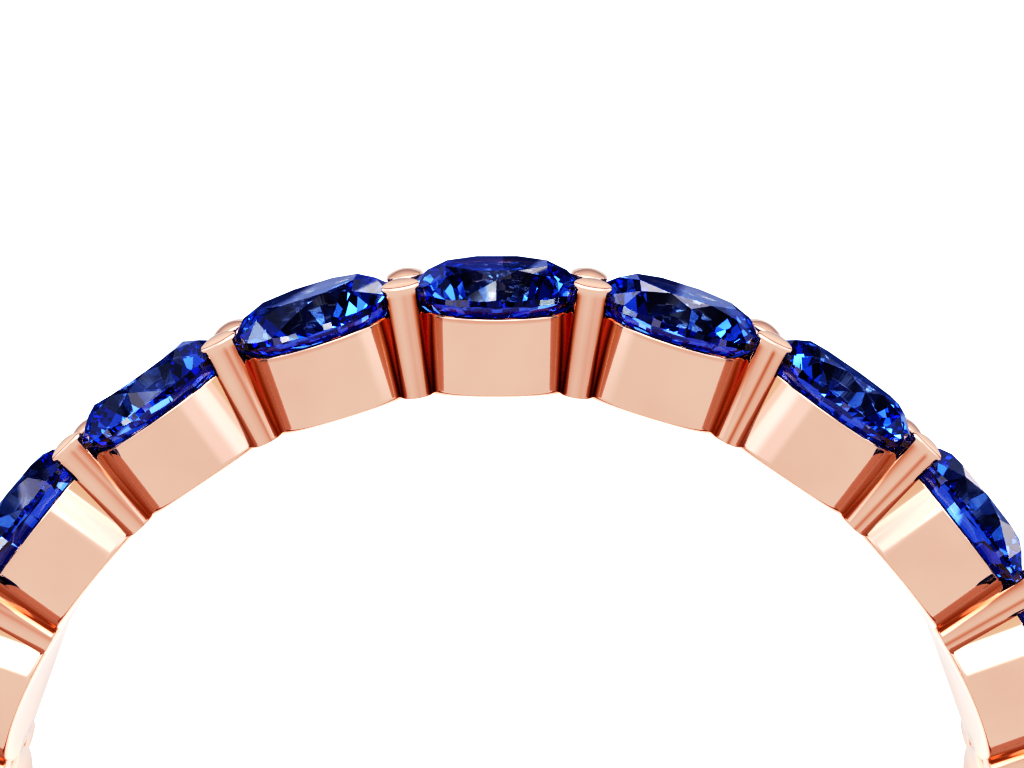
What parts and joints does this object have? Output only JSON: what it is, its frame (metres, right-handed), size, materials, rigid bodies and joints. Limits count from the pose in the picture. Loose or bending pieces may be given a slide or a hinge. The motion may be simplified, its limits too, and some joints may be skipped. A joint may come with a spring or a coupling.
{
  "type": "eternity ring",
  "caption": "Rose gold eternity ring with round blue stones in round cups all the way round, held by shared prongs",
  "frame": {"origin": "middle of the finger hole, on its axis", "axes": "+Z along the finger, away from the surface the ring lies on; +Y through the middle of the first stone; +X to the right when seen from above with +Y up"},
  "size_m": [0.0214, 0.0212, 0.003],
  "materials": {
    "rose_gold": "polished rose gold",
    "blue_stone": "faceted and polished"
  },
  "bodies": {
    "root": {"setting": "rose_gold", "stone_01": "blue_stone", "stone_02": "blue_stone", "stone_03": "blue_stone", "stone_04": "blue_stone", "stone_05": "blue_stone", "stone_06": "blue_stone", "stone_07": "blue_stone", "stone_08": "blue_stone", "stone_09": "blue_stone", "stone_10": "blue_stone", "stone_11": "blue_stone", "stone_12": "blue_stone", "stone_13": "blue_stone", "stone_14": "blue_stone", "stone_15": "blue_stone", "stone_16": "blue_stone", "stone_17": "blue_stone", "stone_18": "blue_stone", "stone_19": "blue_stone", "stone_20": "blue_stone", "stone_21": "blue_stone"}
  },
  "joints": []
}
